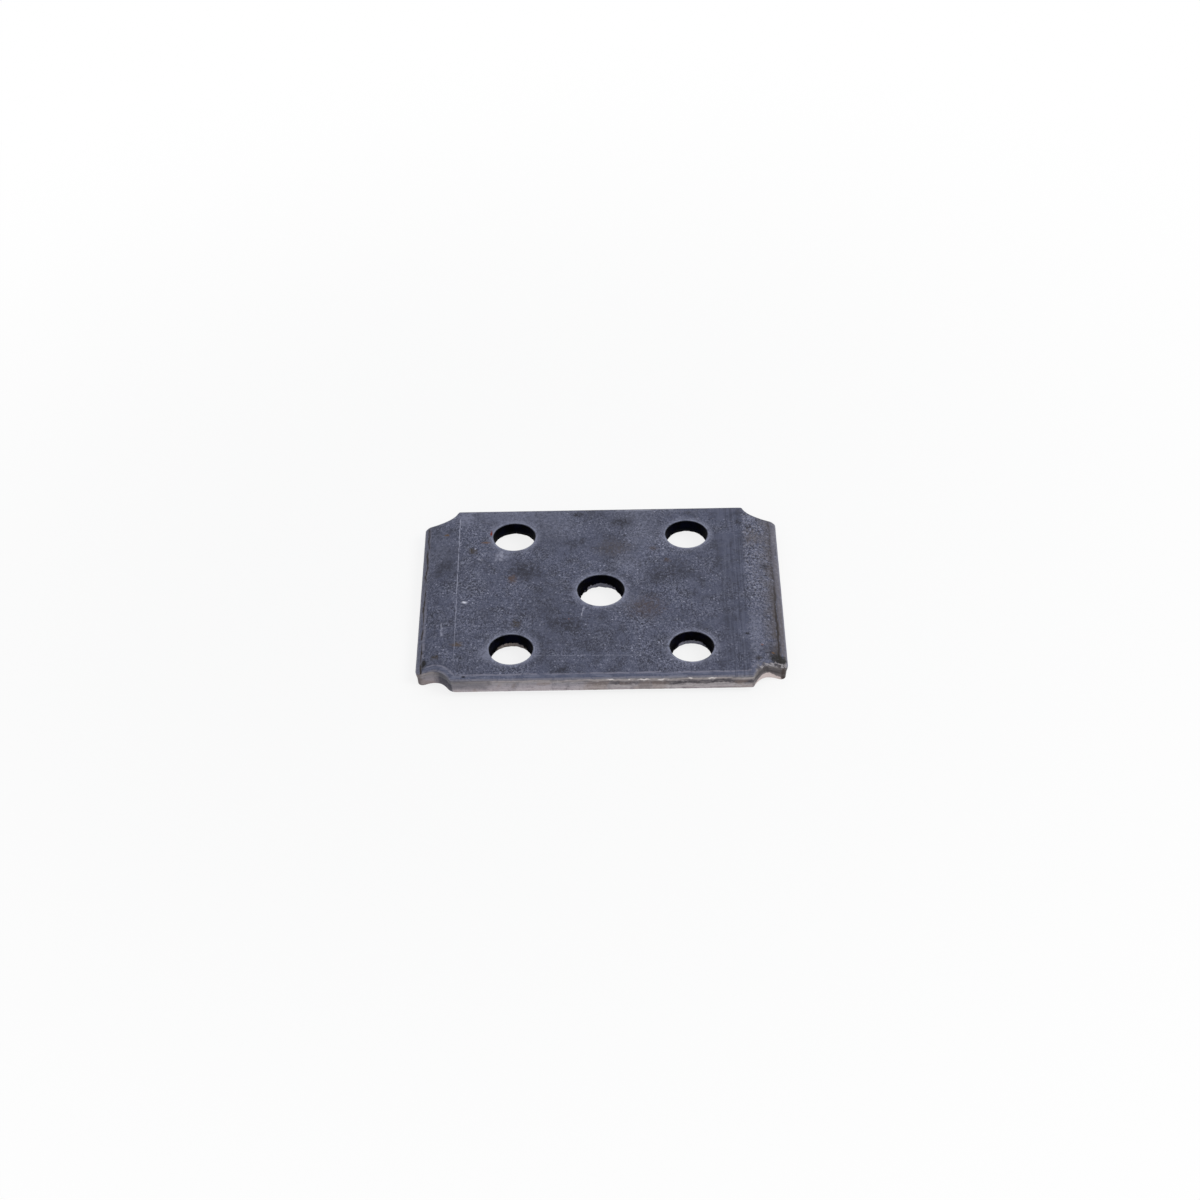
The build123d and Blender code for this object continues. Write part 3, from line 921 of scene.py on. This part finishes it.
def sheared_edge():
    """The cut round the outline, laid out along the edge and down the wall."""
    s = Shader("sheared_edge")
    depth, along = s.attribute("depth"), s.attribute("along_mm")
    place = s.node("ShaderNodeCombineXYZ")
    s.link(along, place.inputs[0])
    s.link(s.math("MULTIPLY", depth, THICK), place.inputs[1])
    s.p = place.outputs[0]

    wave = s.spread(s.noise(0.12, 3, 0.5, 0.0, s.stretch(1, 0)), 0.4)
    jag = s.spread(s.noise(0.8, 3, 0.6, 0.0, s.stretch(1, 0.3)), 0.16)
    level = s.plus(depth, s.plus(wave, jag))

    def ramp(stops):
        n = s.node("ShaderNodeValToRGB")
        els = n.color_ramp.elements
        while len(els) < len(stops):
            els.new(0.5)
        for el, (at, rgb) in zip(els, stops):
            el.position = at
            el.color = srgb(*rgb)
        s.link(level, n.inputs[0])
        return n.outputs[0]

    cut, torn_cut = ramp(SMOOTH_CUT), ramp(TORN_CUT)
    swing = s.spread(s.noise(0.07, 1, 0.5, 0.0, s.stretch(1, 0)), 50.0)
    s.colour = s.mix(s.step(s.plus(s.x, swing), -16.0, 14.0), cut, torn_cut)

    # everything on the cut runs along the edge
    drawn = s.noise(1.5, 3, 0.6, 0.0, s.stretch(0.1, 1.0))
    s.paint(s.mul(s.step(drawn, 0.52, 0.66), 0.3), (172, 166, 168))
    s.paint(s.mul(s.step(drawn, 0.48, 0.32), 0.4), (88, 85, 92))
    pull = s.noise(1.2, 3, 0.65, 0.2, s.stretch(0.6, 0.6))
    s.paint(s.mul(s.step(pull, 0.54, 0.72), 0.3), (178, 172, 176))
    s.paint(s.mul(s.step(pull, 0.44, 0.26), 0.35), (84, 80, 86))
    tan = s.mul(s.step(s.noise(0.11, 3, 0.6, 0.5), 0.5, 0.64), s.step(level, 0.2, 0.5))
    s.paint(s.mul(tan, 0.4), (138, 122, 114))
    grime = s.step(s.noise(0.2, 3, 0.65, 0.0, s.stretch(1, 0.8, (50, 9, 0))), 0.54, 0.68)
    dirty = s.mul(s.step(s.absolute(s.plus(s.x, 43.5)), 10.0, 4.5), s.step(level, 0.92, 0.75))
    s.paint(s.linear(dirty, 0.5, s.mul(grime, 0.3)), (84, 83, 90))
    # the ends and the notches are dirtier than the long edges, and the notch walls that face left
    # carry painted shade
    away = s.absolute(s.x)
    ends = s.linear(s.step(away, 57.5, 59.2), 0.45, s.mul(s.step(away, 48.5, 50.0), 0.25))
    s.paint(ends, (84, 76, 76))
    # painted shade on the notch walls that face left
    inside = s.step(s.normal("True Normal")[0], -0.2, -0.6)
    inside = s.mul(inside, s.step(away, 58.5, 57.0), s.step(away, 45.0, 48.0))
    s.paint(s.mul(inside, 0.8), (44, 46, 60))
    # the broken front right notch: dark above, a bright fresh fracture at its foot
    notch = s.mul(s.step(s.x, 48.2, 49.6), s.step(s.y, -20.0, -30.0))
    s.paint(s.mul(notch, s.linear(pull, 0.6, 0.35)), (66, 62, 64))
    bow = s.absolute(s.minus(s.x, 54.0))
    foot = s.mul(notch, s.step(s.linear(bow, -0.05, level), 0.68, 0.76))
    s.paint(s.mul(foot, 0.9), (206, 192, 190))
    crest = s.mul(notch, s.step(level, 0.2, 0.13), s.step(pull, 0.4, 0.52))
    crest = s.mul(crest, s.step(s.x, 50.0, 51.5))
    s.paint(s.mul(crest, 0.7), (156, 152, 154))
    tip = s.mul(notch, s.step(s.x, 57.4, 58.6), s.step(pull, 0.38, 0.52))
    s.paint(s.mul(tip, 0.8), (52, 38, 34))
    glint = s.step(s.noise(0.3, 2, 0.5, 0.0, s.stretch(1, 0, (7, 3, 0))), 0.62, 0.7)
    for x, reach in GLINTS:
        spot = s.absolute(s.minus(s.x, x))
        glint = s.math("MAXIMUM", glint, s.step(spot, reach, 0.3 * reach))
    glint = s.mul(glint, s.step(level, 0.15, 0.19), s.step(level, 0.29, 0.24))
    glint = s.mul(glint, s.step(s.x, -6.0, 0.0))
    s.paint(s.mul(glint, 0.85), (226, 220, 218))

    torn = s.step(level, 0.42, 0.54)
    height = s.plus(s.mul(pull, 0.4), s.mul(s.noise(1.8, 3, 0.65), torn))
    return s.finished(0.3, s.linear(torn, 0.22, 0.4), s.bump(height, 0.00022, 0.8), 0.2)


# ------------------------------ punched walls
def pierced_wall():
    """The holes' walls, black: partly oil, partly painted shade."""
    s = Shader("pierced_wall")
    depth = s.attribute("depth")
    jag = s.noise(0.8, 3, 0.7, solid=True)
    level = s.plus(depth, s.spread(jag, 0.34))
    oil_and_shade_noise = s.noise(0.35, 2, 0.6, solid=True)
    # near-black walls: partly oil, partly painted shade
    s.colour = s.mix(s.step(oil_and_shade_noise, 0.4, 0.7), srgb(1, 1, 3), srgb(5, 6, 20))
    # bare torn metal at the foot, mostly on the far side, whose walls face the front: partly bare
    # metal, partly painted light; rusty to the left, dull in the back row
    facing = s.normal("Normal")[1]
    far_side = s.linear(s.step(facing, -0.6, -0.86), 0.94, 0.03)
    level = s.minus(level, s.linear(facing, 0.5, 0.5))
    rusty = s.step(s.plus(s.x, s.spread(oil_and_shade_noise, 30.0)), 0.0, -40.0)
    fracture_and_light = s.mix(rusty, srgb(132, 132, 146), srgb(150, 138, 130))
    fracture_and_light = s.mix(s.mul(s.step(jag, 0.46, 0.32), 0.6), fracture_and_light, srgb(60, 58, 66))
    strength = s.linear(s.step(s.y, 20.0, 5.0), 0.95, 0.03)
    torn = s.mul(s.step(level, 0.73, 0.81), strength, far_side)
    s.colour = s.mix(torn, s.colour, fracture_and_light)
    pitted = s.bump(s.noise(1.4, 3, 0.65, solid=True), 0.00015, 0.7)
    return s.finished(0.01, s.linear(torn, 0.2, 0.6), pitted)


for material in (mill_scale(), sheared_edge(), pierced_wall()):
    mesh.materials.append(material)
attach(plate, "root")
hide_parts("tie_plate")

# ------------------------------ floor
FLOOR_HALF, FLOOR_DROP = 4.0, 0.00005        # metres, as are the distances below
SHADE_NEAR, SHADE_FAR = 0.08, 0.4            # the floor's own shade fades out between these
WHITE_SHARE = 0.83                           # and this much of it is white near the plate
FLOOR_GREY, FILL, WHITE = (0.82, 0.82, 0.82, 1), (0.96, 0.98, 1.0, 1), (1, 1, 1, 1)
FILL_STRENGTH = 0.55


def two_faced(tree, output, lit, shown, rays, *shares):
    """Lights with one shader and shows the other to the named rays, by the given shares."""
    ray = tree.node("ShaderNodeLightPath")
    seen = ray.outputs[rays[0]]
    for name in rays[1:]:
        seen = tree.math("MAXIMUM", seen, ray.outputs[name])
    mixer = tree.node("ShaderNodeMixShader")
    tree.link(tree.mul(seen, *shares), mixer.inputs[0])
    tree.link(lit.outputs[0], mixer.inputs[1])
    tree.link(shown.outputs[0], mixer.inputs[2])
    tree.link(mixer.outputs[0], tree.node(output).inputs[0])


floor_mesh = bpy.data.meshes.new("floor")
square = ((-1, -1), (1, -1), (1, 1), (-1, 1))
floor_corners = [(x * FLOOR_HALF, y * FLOOR_HALF, 0) for x, y in square]
floor_mesh.from_pydata(floor_corners, [], [(0, 1, 2, 3)])
floor = bpy.data.objects.new("floor", floor_mesh)
bpy.context.scene.collection.objects.link(floor)
floor.location.z = -FLOOR_DROP
paper = bpy.data.materials.new("paper")
paper.use_nodes = True
tree = Nodes(paper.node_tree)
tree.tree.nodes.clear()
diffuse = tree.node("ShaderNodeBsdfDiffuse")
diffuse.inputs["Color"].default_value = FLOOR_GREY
white = tree.node("ShaderNodeEmission")
white.inputs["Color"].default_value = WHITE
place = tree.node("ShaderNodeTexCoord").outputs["Object"]
share = tree.step(tree.vector("LENGTH", place, (0, 0, 0)), SHADE_NEAR, SHADE_FAR, WHITE_SHARE)
two_faced(tree, "ShaderNodeOutputMaterial", diffuse, white,
          ("Is Camera Ray", "Is Glossy Ray"), share)
floor_mesh.materials.append(paper)

# ------------------------------ world and lamps
world = bpy.data.worlds.new("studio")
bpy.context.scene.world = world
world.use_nodes = True
tree = Nodes(world.node_tree)
tree.tree.nodes.clear()
fill = tree.node("ShaderNodeBackground")
fill.inputs["Color"].default_value = FILL
fill.inputs["Strength"].default_value = FILL_STRENGTH
sky = tree.node("ShaderNodeBackground")
sky.inputs["Color"].default_value = WHITE
sky.inputs["Strength"].default_value = 1.0
two_faced(tree, "ShaderNodeOutputWorld", fill, sky,
          ("Is Camera Ray", "Is Glossy Ray", "Is Transmission Ray"))


def lamp(name, at, size, power, colour):
    """A round soft lamp that looks at the plate; metres and watts."""
    data = bpy.data.lights.new(name, "AREA")
    data.shape = "DISK"
    data.size = size
    data.energy = power
    data.color = colour
    obj = bpy.data.objects.new(name, data)
    bpy.context.scene.collection.objects.link(obj)
    obj.location = at
    obj.rotation_euler = (-Vector(at)).to_track_quat("-Z", "Y").to_euler()


lamp("key", (0.6, -0.2, 0.7), 0.5, 3.4, (1.0, 0.99, 0.97))
lamp("back", (0.1, 0.8, 0.6), 0.8, 1.5, (0.97, 0.98, 1.0))
lamp("front", (-0.1, -0.9, 0.35), 0.6, 1.7, (1.0, 0.985, 0.97))

# ------------------------------ camera
# 75 mm lens, 41 degrees above the plate, level to within a degree and a half
LENS, SENSOR = 75.0, 36.0
ELEVATION, YAW, TILT = 0.715462, -0.009947, -0.023232    # radians
AWAY, ASIDE, DOWN = 831.51, 0.277, -3.314    # of the top face's middle, in camera axes


def camera_matrix():
    c, n = math.cos(YAW), math.sin(YAW)
    turn = Matrix(((c, -n, 0), (n, c, 0), (0, 0, 1)))
    look = Vector((0, math.cos(ELEVATION), -math.sin(ELEVATION)))
    right = Vector((1, 0, 0))
    base = Matrix((right, look.cross(right), look))
    c, n = math.cos(TILT), math.sin(TILT)
    rows = Matrix(((c, -n, 0), (n, c, 0), (0, 0, 1))) @ base @ turn
    at = -(rows.transposed() @ Vector((ASIDE, DOWN, AWAY))) + Vector((0, 0, TOP))
    right, down, ahead = rows[0], rows[1], rows[2]
    m = Matrix((right, -down, -ahead)).transposed().to_4x4()
    m.translation = at * MM
    return m


cam_data = bpy.data.cameras.new("camera")
cam_data.sensor_width = SENSOR
cam_data.lens = LENS
cam_data.clip_start = 0.01
camera = bpy.data.objects.new("camera", cam_data)
bpy.context.scene.collection.objects.link(camera)
camera.matrix_world = camera_matrix()
bpy.context.scene.camera = camera
bpy.context.scene.view_settings.view_transform = "Standard"
